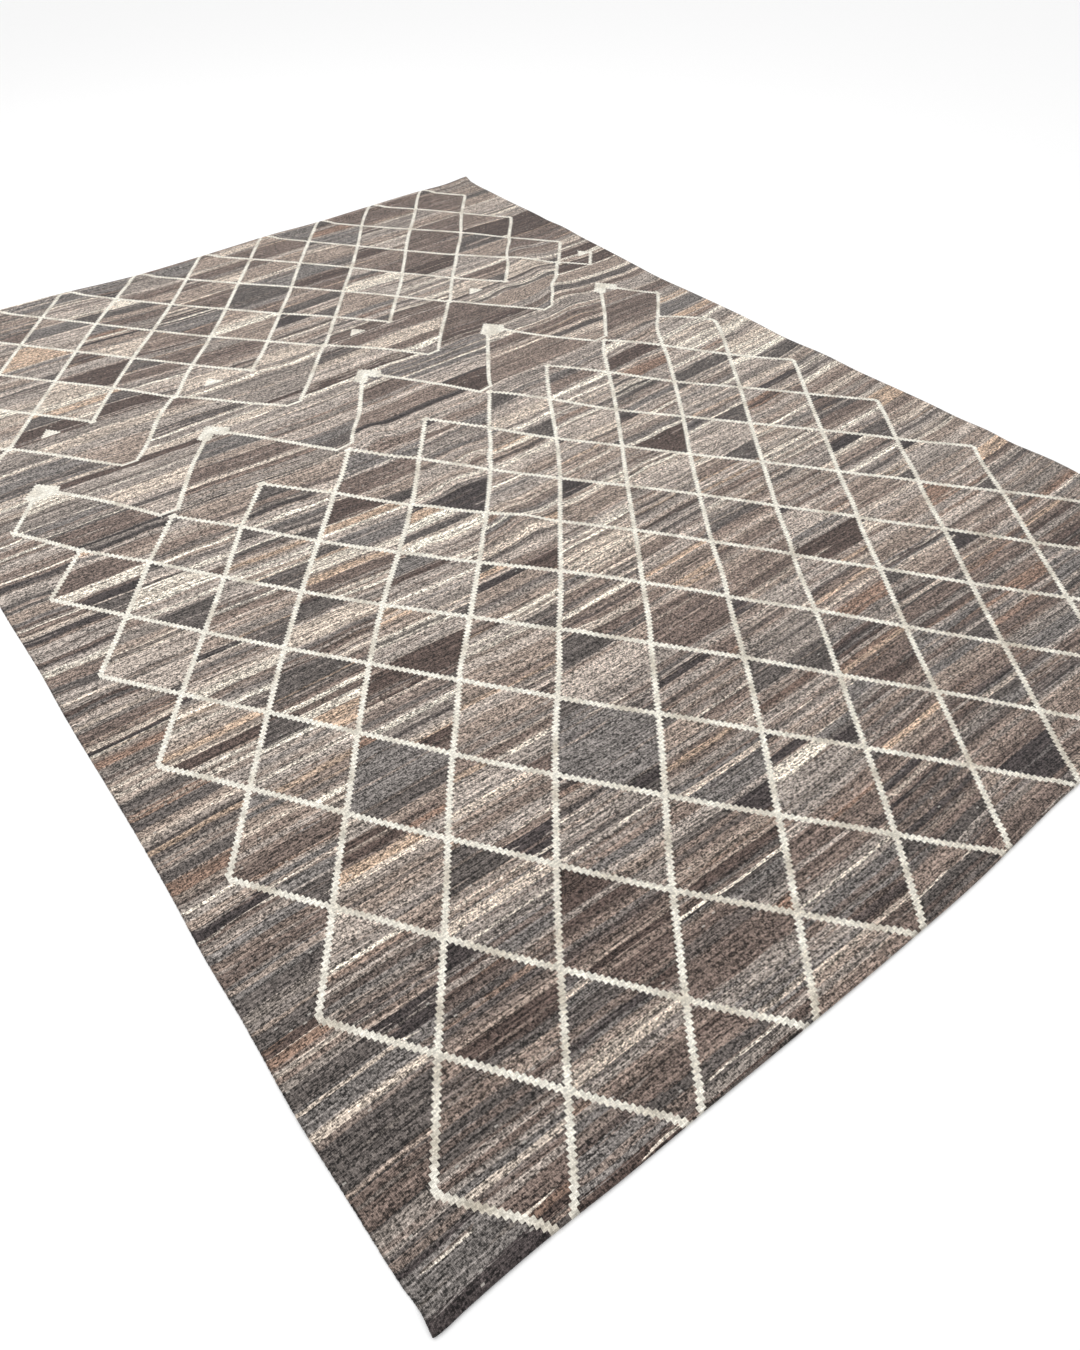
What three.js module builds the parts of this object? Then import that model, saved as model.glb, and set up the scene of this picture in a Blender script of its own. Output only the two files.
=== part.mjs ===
// A flat-woven kilim rug lying open on a floor: one wool cloth with both ends turned under.
// Millimetres, +Z up. X runs across the rug along the weft, and Y runs along the warp.
// The origin is the middle of the rug's footprint, at the level that it lies on.
import * as THREE from 'three';

// Driving dimensions
const RUG_WIDTH = 2400;
const RUG_LENGTH = 3480;
const CLOTH_THICKNESS = 3;
const SELVEDGE_THICKNESS = 3.8;
const HEM_DEPTH = 28;
const HEM_GAP = 0.5;
const HEM_SLOPE = 24;
const FOLD_STEPS = 6;
const SLOPE_STEPS = 4;
const FIELD_ROWS = 44;
const WOOL_COLOUR = 0x7b726a;
const WOOL_ROUGHNESS = 0.95;

// Warp lines that carry the surface, by their distance in from either selvedge
const COLUMN_INSETS = [12, 30, 60, 110, 180, 300, 500, 800];

// The rounded selvedge from back to face: distance in, and height as a share of its thickness
const SELVEDGE_ROUND = [
  { inset: 2.4, share: 0 },
  { inset: 0.5, share: 0.2 },
  { inset: 0, share: 0.5 },
  { inset: 0.5, share: 0.8 },
  { inset: 2.2, share: 1 },
  { inset: 6, share: 1 },
];

// How far each edge lies outside the plain rectangle, by the distance along it.
// The two ends are measured from the left selvedge, and the two sides from the near end.
const NEAR_END = [
  { along: 0, out: 1 },
  { along: 14, out: 2 },
  { along: 50, out: 0 },
  { along: 170, out: -2 },
  { along: 320, out: 2 },
  { along: 500, out: 3.5 },
  { along: 740, out: 6.5 },
  { along: 930, out: 7 },
  { along: 1130, out: 4.5 },
  { along: 1270, out: -3 },
  { along: 1420, out: -11 },
  { along: 1600, out: -9 },
  { along: 1900, out: -2 },
  { along: 2200, out: 3 },
  { along: 2400, out: 0 },
];
const FAR_END = [
  { along: 0, out: 12 },
  { along: 280, out: 22 },
  { along: 500, out: 21 },
  { along: 700, out: 10 },
  { along: 840, out: -8 },
  { along: 950, out: -18 },
  { along: 1230, out: -11 },
  { along: 1500, out: 1 },
  { along: 1660, out: -6 },
  { along: 1900, out: 2 },
  { along: 2150, out: 10 },
  { along: 2300, out: 3 },
  { along: 2400, out: 12 },
];
const LEFT_SIDE = [
  { along: 0, out: -5 },
  { along: 8, out: -4.5 },
  { along: 20, out: -7 },
  { along: 90, out: -3.5 },
  { along: 220, out: 0 },
  { along: 350, out: 4 },
  { along: 560, out: 1 },
  { along: 690, out: 2.5 },
  { along: 860, out: -1.5 },
  { along: 1030, out: -2.5 },
  { along: 1400, out: 1 },
  { along: 1570, out: -1 },
  { along: 1830, out: 2.5 },
  { along: 2200, out: 0 },
  { along: 2600, out: -3 },
  { along: 3000, out: 3 },
  { along: 3480, out: 4 },
];
const RIGHT_SIDE = [
  { along: 0, out: 0 },
  { along: 260, out: 4 },
  { along: 480, out: -2 },
  { along: 660, out: 2 },
  { along: 800, out: -4 },
  { along: 870, out: 2 },
  { along: 960, out: -4 },
  { along: 1080, out: -3 },
  { along: 1340, out: -11 },
  { along: 1450, out: -11 },
  { along: 1620, out: -17 },
  { along: 1780, out: -10 },
  { along: 2040, out: -13 },
  { along: 2210, out: -18 },
  { along: 2350, out: -11 },
  { along: 2500, out: -4 },
  { along: 2700, out: 3 },
  { along: 2790, out: 6 },
  { along: 2870, out: 3 },
  { along: 2960, out: 10 },
  { along: 3100, out: 10 },
  { along: 3300, out: 14 },
  { along: 3430, out: 17 },
  { along: 3480, out: 28 },
];

// Places where the cloth's rim stands a little off the floor
const RIM_LIFTS = [
  { across: 2400, along: 3480, height: 5, reach: 150 },
  { across: 2400, along: 2810, height: 3, reach: 170 },
  { across: 2400, along: 1450, height: 2.5, reach: 150 },
  { across: 2400, along: 690, height: 3, reach: 160 },
  { across: 0, along: 350, height: 2, reach: 150 },
];

function edgeLine(rows) {
  const along = rows.map((row) => row.along);
  const out = rows.map((row) => row.out);
  const curve = new THREE.CubicInterpolant(along, out, 1);
  return (distance) => curve.evaluate(distance)[0];
}

const nearEnd = edgeLine(NEAR_END);
const farEnd = edgeLine(FAR_END);
const leftSide = edgeLine(LEFT_SIDE);
const rightSide = edgeLine(RIGHT_SIDE);

// Where a point of the plain rectangle lies on the floor once the edges have their real lines
function onFloor(across, along) {
  const acrossShare = across / RUG_WIDTH;
  const alongShare = along / RUG_LENGTH;
  const shiftX = THREE.MathUtils.lerp(-leftSide(along), rightSide(along), acrossShare);
  const shiftY = THREE.MathUtils.lerp(-nearEnd(across), farEnd(across), alongShare);
  return new THREE.Vector2(across + shiftX, along + shiftY);
}

function liftAt(across, along) {
  let lift = 0;
  for (const { across: x, along: y, height, reach } of RIM_LIFTS) {
    const away = Math.hypot(across - x, along - y) / reach;
    lift += height * (1 - THREE.MathUtils.smoothstep(away, 0, 1));
  }
  return lift;
}

// The cloth's middle line at one end, from the turned-under edge, round the fold and down to the
// floor. Each stop has its distance from the end, its height and the way that the face looks.
function endStops() {
  const half = CLOTH_THICKNESS / 2;
  const foldRadius = (CLOTH_THICKNESS + HEM_GAP) / 2;
  const foldCentre = foldRadius + half;
  const upperHeight = foldCentre + foldRadius;
  const stops = [
    { along: HEM_DEPTH, height: half, faceY: 0, faceZ: -1 },
    { along: HEM_DEPTH / 2, height: half, faceY: 0, faceZ: -1 },
  ];
  for (let step = 0; step <= FOLD_STEPS; step += 1) {
    const turn = Math.PI * (step / FOLD_STEPS - 0.5);
    const faceY = -Math.cos(turn);
    const faceZ = Math.sin(turn);
    const along = foldCentre + foldRadius * faceY;
    stops.push({ along, height: foldCentre + foldRadius * faceZ, faceY, faceZ });
  }
  stops.push({ along: HEM_DEPTH / 2, height: upperHeight, faceY: 0, faceZ: 1 });
  const drop = upperHeight - half;
  for (let step = 0; step <= SLOPE_STEPS; step += 1) {
    const share = step / SLOPE_STEPS;
    const height = upperHeight - drop * THREE.MathUtils.smoothstep(share, 0, 1);
    const steepness = (6 * share * (1 - share) * drop) / HEM_SLOPE;
    const face = new THREE.Vector2(steepness, 1).normalize();
    const along = HEM_DEPTH + HEM_SLOPE * share;
    stops.push({ along, height, faceY: face.x, faceZ: face.y });
  }
  return stops;
}

// Stops along the whole warp, with how full the selvedge is at each: thin only in the hems
function warpStops() {
  const near = endStops().map((stop) => ({ ...stop, fullness: 0 }));
  const far = near.map((stop) => ({
    ...stop,
    along: RUG_LENGTH - stop.along,
    faceY: -stop.faceY,
  }));
  const start = HEM_DEPTH + HEM_SLOPE;
  const step = (RUG_LENGTH - 2 * start) / FIELD_ROWS;
  const field = [];
  for (let row = 1; row < FIELD_ROWS; row += 1) {
    const height = CLOTH_THICKNESS / 2;
    field.push({ along: start + row * step, height, faceY: 0, faceZ: 1, fullness: 1 });
  }
  return [...near, ...field, ...far.reverse()];
}

// One turn round the cloth across the weft: up the left selvedge, over the face, down the right
// selvedge and back along the underside
function weftTurn(fullness) {
  const edge = THREE.MathUtils.lerp(CLOTH_THICKNESS, SELVEDGE_THICKNESS, fullness);
  const rounded = SELVEDGE_ROUND.map(({ inset, share }) => ({ across: inset, over: share * edge }));
  const mirrored = COLUMN_INSETS.map((inset) => RUG_WIDTH - inset).reverse();
  const columns = [...COLUMN_INSETS, RUG_WIDTH / 2, ...mirrored];
  const face = columns.map((across) => ({ across, over: CLOTH_THICKNESS }));
  const back = columns.map((across) => ({ across, over: 0 })).reverse();
  const right = rounded.map(({ across, over }) => ({ across: RUG_WIDTH - across, over })).reverse();
  return [...rounded, ...face, ...right, ...back];
}

function clothVertices(stops) {
  const positions = [];
  for (const stop of stops) {
    for (const { across, over } of weftTurn(stop.fullness)) {
      const off = over - CLOTH_THICKNESS / 2;
      const along = stop.along + stop.faceY * off;
      const place = onFloor(across, along);
      const height = stop.height + stop.faceZ * off + liftAt(across, along);
      positions.push(place.x, place.y, height);
    }
  }
  return positions;
}

// Closes the cloth at one end: a fan at each selvedge, and a strip from face to back between them
function endCap(first, flip) {
  const round = SELVEDGE_ROUND.length;
  const columns = 2 * COLUMN_INSETS.length + 1;
  const size = 2 * (round + columns);
  const backLeft = size - 1;
  const backRight = size - columns;
  const corners = [];
  for (let step = 0; step < round; step += 1) {
    const right = round + columns - 1 + step;
    corners.push([backLeft, step, step + 1], [right, right + 1, backRight]);
  }
  for (let column = 0; column < columns - 1; column += 1) {
    const face = round + column;
    const back = backLeft - column;
    corners.push([face, face + 1, back], [face + 1, back - 1, back]);
  }
  const turned = corners.map((corner) => (flip ? corner.reverse() : corner));
  return turned.flat().map((corner) => first + corner);
}

function rugGeometry() {
  const stops = warpStops();
  const size = weftTurn(0).length;
  const faces = [];
  for (let row = 0; row < stops.length - 1; row += 1) {
    for (let column = 0; column < size; column += 1) {
      const a = row * size + column;
      const b = row * size + ((column + 1) % size);
      faces.push(a, b, b + size, a, b + size, a + size);
    }
  }
  faces.push(...endCap(0, true), ...endCap((stops.length - 1) * size, false));
  const geometry = new THREE.BufferGeometry();
  geometry.setAttribute('position', new THREE.Float32BufferAttribute(clothVertices(stops), 3));
  geometry.setIndex(faces);
  geometry.computeBoundingBox();
  const middle = geometry.boundingBox.getCenter(new THREE.Vector3());
  geometry.translate(-middle.x, -middle.y, -geometry.boundingBox.min.z);
  geometry.computeVertexNormals();
  return geometry;
}

const wool = new THREE.MeshStandardMaterial({
  color: WOOL_COLOUR,
  roughness: WOOL_ROUGHNESS,
  metalness: 0,
});

const cloth = new THREE.Mesh(rugGeometry(), wool);
cloth.name = 'kilim_cloth';

const rug = new THREE.Group();
rug.name = 'kilim_rug';
rug.add(cloth);

export default rug;
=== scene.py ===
"""A flat-woven kilim rug of grey, brown and cream wool, lying open on a pale floor.

Sizes on the cloth are millimetres: across from the left selvedge, along from the near end.
Its pieces carry two attributes: "weave" is where each point lies across and along the pattern as
planned, and its real distance along the cloth, and "inset" is its distance in from a selvedge.
"""

import math

import bpy
import numpy as np
from mathutils import Matrix, Vector


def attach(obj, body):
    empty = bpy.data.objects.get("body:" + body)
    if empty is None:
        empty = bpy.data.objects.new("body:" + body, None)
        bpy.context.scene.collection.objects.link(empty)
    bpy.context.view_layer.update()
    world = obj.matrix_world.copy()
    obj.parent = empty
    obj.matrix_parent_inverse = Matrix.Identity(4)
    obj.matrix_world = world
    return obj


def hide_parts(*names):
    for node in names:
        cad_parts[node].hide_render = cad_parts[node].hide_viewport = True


MM = 0.001

# The cloth, as the solid that it stands for
RUG_WIDTH = 2400
RUG_LENGTH = 3480
CLOTH_THICKNESS = 3
SELVEDGE_THICKNESS = 3.8
HEM_DEPTH = 28
HEM_GAP = 0.5
HEM_SLOPE = 24
FOLD_STEPS = 12
SLOPE_STEPS = 6

# How finely the cloth is divided, and how much of its flat map the face takes
COLUMN_STEP = 12.5
ROW_STEP = 20
FACE_SHARE_OF_MAP = 0.7

# The weft yarn as it turns round the outer warps
TURN_PITCH = 2.6
TURN_INSET = 1.4
TURN_HALF_WIDTH = 2.3
YARN_RADIUS = 1.25
YARN_HALF_THICKNESS = 0.6
TURN_SIDES = 7
YARN_SIDES = 4
TURN_SEED = 11

# The rounded selvedge from back to face: distance in, and height as a share of its thickness
SELVEDGE_ROUND = ((2.4, 0), (0.5, 0.2), (0, 0.5), (0.5, 0.8), (2.2, 1), (6, 1))

# How far each edge lies outside the plain rectangle: distance along the edge, and how far out
NEAR_END = (
    (0, 1), (14, 2), (50, 0), (170, -2), (320, 2), (500, 3.5), (740, 6.5), (930, 7),
    (1130, 4.5), (1270, -3), (1420, -11), (1600, -9), (1900, -2), (2200, 3), (2400, 0),
)
FAR_END = (
    (0, 12), (280, 22), (500, 21), (700, 10), (840, -8), (950, -18), (1230, -11),
    (1500, 1), (1660, -6), (1900, 2), (2150, 10), (2300, 3), (2400, 12),
)
LEFT_SIDE = (
    (0, -5), (8, -4.5), (20, -7), (90, -3.5), (220, 0), (350, 4), (560, 1), (690, 2.5),
    (860, -1.5), (1030, -2.5), (1400, 1), (1570, -1), (1830, 2.5), (2200, 0), (2600, -3),
    (3000, 3), (3480, 4),
)
RIGHT_SIDE = (
    (0, 0), (260, 4), (480, -2), (660, 2), (800, -4), (870, 2), (960, -4), (1080, -3),
    (1340, -11), (1450, -11), (1620, -17), (1780, -10), (2040, -13), (2210, -18),
    (2350, -11), (2500, -4), (2700, 3), (2790, 6), (2870, 3), (2960, 10), (3100, 10),
    (3300, 14), (3430, 17), (3480, 28),
)

# Places where the rim stands a little off the floor: across, along, height, reach
RIM_LIFTS = (
    (2400, 3480, 5, 150),
    (2400, 2810, 3, 170),
    (2400, 1450, 2.5, 150),
    (2400, 690, 3, 160),
    (0, 350, 2, 150),
)

# Soft unevenness of the cloth on the floor: across, along, height, reach
RIPPLES = (
    (700, 500, 0.7, 420),
    (1700, 900, 0.9, 500),
    (500, 1500, 0.8, 460),
    (1250, 2050, 1.0, 380),
    (1950, 2350, 1.0, 420),
    (800, 2700, 0.8, 480),
    (1700, 3100, 0.7, 360),
)

# The pattern's columns and rows of crossings
FIRST_COLUMN = 108
COLUMN_PITCH = 122.4
LAST_COLUMN = 18
ROW_PITCH = 166.8
ROWS_START = -29
SHORT_ROW_START = 1806
SHORT_ROW_PITCH = 133
LOWER_ROWS = 12
UPPER_ROW_PITCH = 162
UPPER_ROWS_END = 3510
UPPER_ROWS = 6
UPPER_FROM = 2236

# The cream lines, woven in steps of a few wefts
LINE_HALF = 7.3
LINE_STEP = 9.1
BARB = 2
BAR_HALF = 5

# The crown zigzag over the lower diamonds, and the swags hung from the upper ones
FIRST_VALLEY = 3
CROWN_VALLEY = 1961
CROWN_FLAT = 24
CROWN_SLOPE = 1.526
CROWN_FOOT = 1939
SWAG_VALLEY = 2273
SWAG_FLAT = 21
SWAG_SLOPE = 1.23

# The hook at either end of the swags, by its column from the middle
HOOK_COLUMN = 8.66
HOOK_TIP = 2458
HOOK_SLOPE = 1.12
HOOK_REACH = 74
HOOK_BAR = 2545

# The stepped caps on the crown's peaks, and the small triangles between the swags
FIRST_PEAK = 1
CAP_TOP = 2326
CAP_SPREAD = 0.9
CAP_FOOT = 2241
CAP_NECK = 34
FIRST_SOLID_CAP = 1
SOLID_CAPS_APART = 12
WINDOW_TOP = 2265
WINDOW_SPREAD = 0.85
FIRST_TOOTH = 2
TOOTH_TOP = 2582
TOOTH_SPREAD = 0.72
TOOTH_FOOT = 2541

# The ground between the crown and the swags: below and above the line between their points
BREAK_FROM = 2136
BREAK_MIDDLE = 2283
BREAK_TO = 2549

# Uneven runs of weft: how high the broad, narrow and thin ones are, how far they sway, and how
# far two runs mingle where they meet
BROAD_RUN = 38
NARROW_RUN = 12
THIN_RUN = 4.6
SWAY = 13
QUIET_SWAY = 5
MINGLED = 13

# How wide and how high the sways are, and the broad and the small mingling of two runs
SWAY_WIDTH = 95
SWAY_HEIGHT = 110
MINGLED_WIDTH = 110
MINGLED_HEIGHT = 1.9
FRAYED = 3
FRAYED_WIDTH = 14
FRAYED_HEIGHT = 1.6

# Where each shape's broad, narrow and thin runs and its fading are taken from, and how much of the
# weaver's choice belongs to the whole shape
BROAD_SHIFT = 97
NARROW_SHIFT = 89
THIN_SHIFT = 83
FADE_SHIFT = 31
SHAPE_SHARE = 0.38

# Which share of narrow and thin runs shows, and how strongly
NARROW_ABOVE = 0.55
NARROW_STRENGTH = 0.75
THIN_ABOVE = 0.8
THIN_STRENGTH = 0.6
FADE_WIDTH = 130
FADE_HEIGHT = 14
FADED_BELOW = 0.45

# Where the wefts sway most, and over what distance that begins and ends
RESTLESS_FROM = 1250
RESTLESS_TO = 2600
RESTLESS_EASE = 150

# The ground's yarns lean to the dark ones at the near end and to the pale ones beyond
PALER_BEYOND = 1300
NEAR_LEANING = -0.55
FAR_LEANING = 0.95

# Painted shade on the rims: its reach in from each hem's fold and from each selvedge, and its depth
SHADED_END_WIDTH = 3
SHADED_SIDE_WIDTH = 3
PAINTED_RIM_SHADE = 0.7

# The weave: ribs over the warps, beads of weft on each rib, and how high they stand
RIB_PITCH = 2.5
BEAD_PITCH = 2.6
RELIEF = 0.6

# How far the heather's patches, strands and slubs reach across and along, and how rare flecks are
PATCH_WIDTH = 6.1
PATCH_HEIGHT = 3.1
STRAND_WIDTH = 130
STRAND_HEIGHT = 2.1
SLUB_WIDTH = 9
SLUB_HEIGHT = 4.5
FLECKED_ABOVE = 0.998
DARKEST_TONE = 0.15

# How bright a white surface stands in the scene's light
LIGHT_LEVEL = 1.29

# The tables of drift and humps are fitted to where the photo's cream lines cross.
# Where the crossings drift sideways as the columns wander: across, shift. They drift one way below
# the break between the crown and the swags, and another way beyond it.
COLUMN_DRIFT = (
    (0, -7), (230, -10), (600, -15), (730, -10), (850, 0), (970, 9), (1090, 17), (1210, 20),
    (1330, 17), (1450, 11), (1580, 2), (1700, -4), (1950, -7), (2400, -5),
)
FAR_COLUMN_DRIFT = (
    (0, -10), (600, -17), (842, -10), (965, -3), (1210, 7), (1332, 13), (1700, 9), (1822, -1),
    (2066, 8), (2200, 0), (2400, -4),
)
DRIFT_TURNS_FROM = 2050
DRIFT_TURNS_TO = 2500

# How far all the columns drift sideways: along, shift
SIDE_DRIFT = (
    (0, -1), (500, -1), (900, -3), (1300, 0), (1900, 4), (2290, 11), (2540, 4), (2860, -1),
    (3100, -5), (3348, -10), (3480, -12),
)

# Where the rows climb: along, then the climb at the left, in the middle and at the right
ROW_DRIFT = (
    (0, 6, 19, 30),
    (400, 6, 17, 40),
    (800, 11, 17, 47),
    (1140, 14, 9, 46),
    (1472, 10, -21, 37),
    (1640, 7, -32, 30),
    (1806, 3, -20, 42),
    (1939, 14, 0, 74),
    (2116, 8, 2, 6),
    (2290, -15, 0, -6),
    (2540, 0, -4, 1),
    (2700, -5, -8, -11),
    (2860, -12, -16, -17),
    (3100, -17, -18, -15),
    (3348, -22, -17, -22),
    (3480, -24, -18, -24),
)

# Humps and hollows in the weft, most of them steeper on their right: across, along, reach to the
# left and to the right, reach along, and height
HUMPS = (
    (1082, 1985, 120, 62, 120, 27),
    (1126, 1632, 120, 90, 90, 14),
    (1246, 1684, 70, 45, 60, 16),
    (1160, 1445, 70, 55, 60, 10),
    (1164, 1352, 80, 60, 90, 26),
    (1078, 1362, 70, 60, 70, 9),
    (905, 1440, 60, 60, 80, 9),
    (1000, 1560, 80, 80, 70, 8),
    (2145, 2691, 120, 72, 140, 32),
    (2107, 2533, 130, 62, 100, 20),
    (2070, 2406, 130, 76, 90, 30),
    (2047, 2290, 130, 90, 110, 32),
    (1920, 2496, 110, 60, 80, 14),
    (2010, 2180, 110, 70, 80, 16),
    (760, 1000, 90, 60, 60, 8),
    (1010, 960, 80, 60, 60, 9),
    (720, 1800, 100, 70, 70, 9),
    (1390, 700, 240, 260, 700, -9),
    (1390, 1560, 240, 260, 600, -12),
    (2400, 700, 360, 100, 400, 10),
    (600, 2290, 420, 330, 170, -20),
    (985, 2290, 150, 170, 150, 8),
    (1454, 2275, 160, 160, 150, -16),
    (985, 1950, 170, 120, 130, 9),
    (1420, 1950, 150, 130, 130, -11),
    (720, 2550, 130, 100, 160, -13),
    (965, 2560, 110, 110, 160, 11),
)


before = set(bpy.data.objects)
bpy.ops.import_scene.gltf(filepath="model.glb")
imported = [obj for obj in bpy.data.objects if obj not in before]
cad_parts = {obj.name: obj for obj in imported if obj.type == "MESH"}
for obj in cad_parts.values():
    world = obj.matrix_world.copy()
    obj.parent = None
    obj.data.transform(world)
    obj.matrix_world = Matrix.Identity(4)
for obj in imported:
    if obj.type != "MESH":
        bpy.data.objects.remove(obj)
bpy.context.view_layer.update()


def smooth(share):
    """0 below 0, 1 above 1, and an even ease between."""
    share = np.clip(share, 0, 1)
    return share * share * (3 - 2 * share)


def curve_through(rows):
    """A smooth line through the rows of a table of distance and value."""
    at, value = np.array(rows, float).T
    slope = np.diff(value) / np.diff(at)
    lean = np.concatenate([slope[:1], (slope[1:] + slope[:-1]) / 2, slope[-1:]])

    def line(distance):
        distance = np.clip(distance, at[0], at[-1])
        i = np.clip(np.searchsorted(at, distance, side="right") - 1, 0, len(at) - 2)
        span = at[i + 1] - at[i]
        s = (distance - at[i]) / span
        start = (1 + 2 * s) * (1 - s) ** 2 * value[i] + s * (1 - s) ** 2 * span * lean[i]
        end = s * s * (3 - 2 * s) * value[i + 1] + s * s * (s - 1) * span * lean[i + 1]
        return start + end

    return line


near_end, far_end, left_side, right_side = map(
    curve_through, (NEAR_END, FAR_END, LEFT_SIDE, RIGHT_SIDE)
)


def on_floor(across, along):
    """Where a point of the plain rectangle lies once the edges have their real lines."""
    over, up = across / RUG_WIDTH, along / RUG_LENGTH
    x = across - left_side(along) * (1 - over) + right_side(along) * over
    y = along - near_end(across) * (1 - up) + far_end(across) * up
    return x, y


def middle_of_rug():
    """The middle of the box round the rug's real outline."""
    along = np.linspace(0, RUG_LENGTH, RUG_LENGTH // 5)
    across = np.linspace(0, RUG_WIDTH, RUG_WIDTH // 5)
    x = np.concatenate([on_floor(side, along)[0] for side in (0, RUG_WIDTH)])
    y = np.concatenate([on_floor(across, end)[1] for end in (0, RUG_LENGTH)])
    return (x.min() + x.max()) / 2, (y.min() + y.max()) / 2


middle_x, middle_y = middle_of_rug()


def lift_at(across, along):
    """How far the cloth's underside stands off the floor."""
    lift = np.zeros(np.broadcast(across, along).shape)
    for x, y, height, reach in RIM_LIFTS + RIPPLES:
        away = np.hypot(across - x, along - y) / reach
        lift += height * (1 - smooth(away))
    return lift


# The pattern's drift

column_drift = curve_through(COLUMN_DRIFT)
far_column_drift = curve_through(FAR_COLUMN_DRIFT)
side_drift = curve_through(SIDE_DRIFT)
left_climb, middle_climb, right_climb = (
    curve_through([(row[0], row[side]) for row in ROW_DRIFT]) for side in (1, 2, 3)
)


def climb_at(across, along):
    """How far the weft has climbed above its planned row, humps included."""
    t = across / RUG_WIDTH
    climb = left_climb(along) * (1 - t) * (1 - 2 * t)
    climb = climb + middle_climb(along) * 4 * t * (1 - t) + right_climb(along) * t * (2 * t - 1)
    for x, y, left, right, reach, height in HUMPS:
        aside = np.where(across < x, (x - across) / left, (across - x) / right)
        climb = climb + height * (1 - smooth(aside)) * (1 - smooth(abs(along - y) / reach))
    return climb


def pattern_place(across, along):
    """Where a point lies across and along the planned pattern, and along the cloth, in metres."""
    beyond = smooth((along - DRIFT_TURNS_FROM) / (DRIFT_TURNS_TO - DRIFT_TURNS_FROM))
    drift = column_drift(across) * (1 - beyond) + far_column_drift(across) * beyond
    planned_across = across - drift - side_drift(along)
    planned_along = along - climb_at(across, along)
    return np.stack([planned_across, planned_along, along], -1) * MM


# The cloth


def end_stops():
    """The cloth's middle line at one end: from the turned-under edge, round the fold, down to
    the floor. A stop is its distance from the end, its height, the way that the face looks
    there, how full the selvedge is, and its own place along the cloth, negative in the hem."""
    half = CLOTH_THICKNESS / 2
    radius = (CLOTH_THICKNESS + HEM_GAP) / 2
    centre = radius + half
    upper = centre + radius
    girth = math.pi * radius
    stops = [(HEM_DEPTH * s, half, 0, -1, 0, centre - girth - HEM_DEPTH * s) for s in (1, 0.5)]
    for step in range(FOLD_STEPS + 1):
        share = step / FOLD_STEPS
        y, z = -math.cos(math.pi * (share - 0.5)), math.sin(math.pi * (share - 0.5))
        own = centre - girth * (1 - share)
        stops.append((centre + radius * y, centre + radius * z, y, z, 0, own))
    stops.append((HEM_DEPTH / 2, upper, 0, 1, 0, HEM_DEPTH / 2))
    drop = upper - half
    for step in range(SLOPE_STEPS + 1):
        share = step / SLOPE_STEPS
        height = upper - drop * float(smooth(share))
        steepness = 6 * share * (1 - share) * drop / HEM_SLOPE
        size = math.hypot(steepness, 1)
        along = HEM_DEPTH + HEM_SLOPE * share
        stops.append((along, height, steepness / size, 1 / size, 0, along))
    return stops


def warp_stops():
    """Stops along the whole warp, a row for each."""
    near = end_stops()
    far = [(RUG_LENGTH - y, z, -fy, fz, full, RUG_LENGTH - own) for y, z, fy, fz, full, own in near]
    start = HEM_DEPTH + HEM_SLOPE
    rows = round((RUG_LENGTH - 2 * start) / ROW_STEP)
    places = np.linspace(start, RUG_LENGTH - start, rows + 1)[1:-1]
    field = [(y, CLOTH_THICKNESS / 2, 0, 1, 1, y) for y in places]
    return np.array(near + field + far[::-1])


FACE_COLUMNS = np.arange(COLUMN_STEP, RUG_WIDTH, COLUMN_STEP)
FACE_END = 2 * len(SELVEDGE_ROUND) + len(FACE_COLUMNS) - 1


def weft_turn(fullness):
    """One turn round the cloth across the weft, as rows of across and height over the underside:
    up the left selvedge, over the face, down the right selvedge and back along the underside."""
    edge = CLOTH_THICKNESS + (SELVEDGE_THICKNESS - CLOTH_THICKNESS) * fullness
    left = [(inset, share * edge) for inset, share in SELVEDGE_ROUND]
    right = [(RUG_WIDTH - across, over) for across, over in reversed(left)]
    face = [(across, CLOTH_THICKNESS) for across in FACE_COLUMNS]
    back = [(across, 0) for across in reversed(FACE_COLUMNS)]
    return np.array(left + face + right + back)


def set_in_place(stops, across, over):
    """Points on the cloth at each stop, for heights over its underside, and their pattern places."""
    along, height, face_y, face_z, _, own = (column[:, None] for column in stops.T)
    off = over - CLOTH_THICKNESS / 2
    x, y = on_floor(across, along + face_y * off)
    z = height + face_z * off + lift_at(across, along)
    place = np.stack([x - middle_x, y - middle_y, z], -1) * MM
    return place.reshape(-1, 3), pattern_place(across, own + 0 * across).reshape(-1, 3)


def add_weave(mesh, places, insets):
    """Records where each of a mesh's points lies in the pattern, and how far in from a selvedge."""
    weave = mesh.attributes.new("weave", "FLOAT_VECTOR", "POINT")
    weave.data.foreach_set("vector", np.ravel(places))
    inset = mesh.attributes.new("inset", "FLOAT", "POINT")
    inset.data.foreach_set("value", np.ravel(insets) * MM)


def end_cap(first):
    """Closes a hem's raw edge with a strip from face to back, and a fan at each selvedge."""
    rounds, columns, size = len(SELVEDGE_ROUND), len(FACE_COLUMNS), len(weft_turn(0))
    caps = [[size - 1, *range(rounds + 1)], [*range(FACE_END - rounds, FACE_END + 2)]]
    for column in range(columns - 1):
        face, back = rounds + column, size - 1 - column
        caps.append([face, face + 1, back - 1, back])
    return [[first + corner for corner in cap] for cap in caps]


def flat_map(turn, stops):
    """Where the cloth lies on one flat picture: its face, then its back, from left to right."""
    closed = np.vstack([turn, turn[:1]])
    girth = np.concatenate([[0], np.hypot(*np.diff(closed, axis=0).T).cumsum()])
    across = np.interp(girth, [0, girth[FACE_END], girth[-1]], [0, FACE_SHARE_OF_MAP, 1])
    own = stops[:, -1]
    return across, (own - own[0]) / (own[-1] - own[0])


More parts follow.
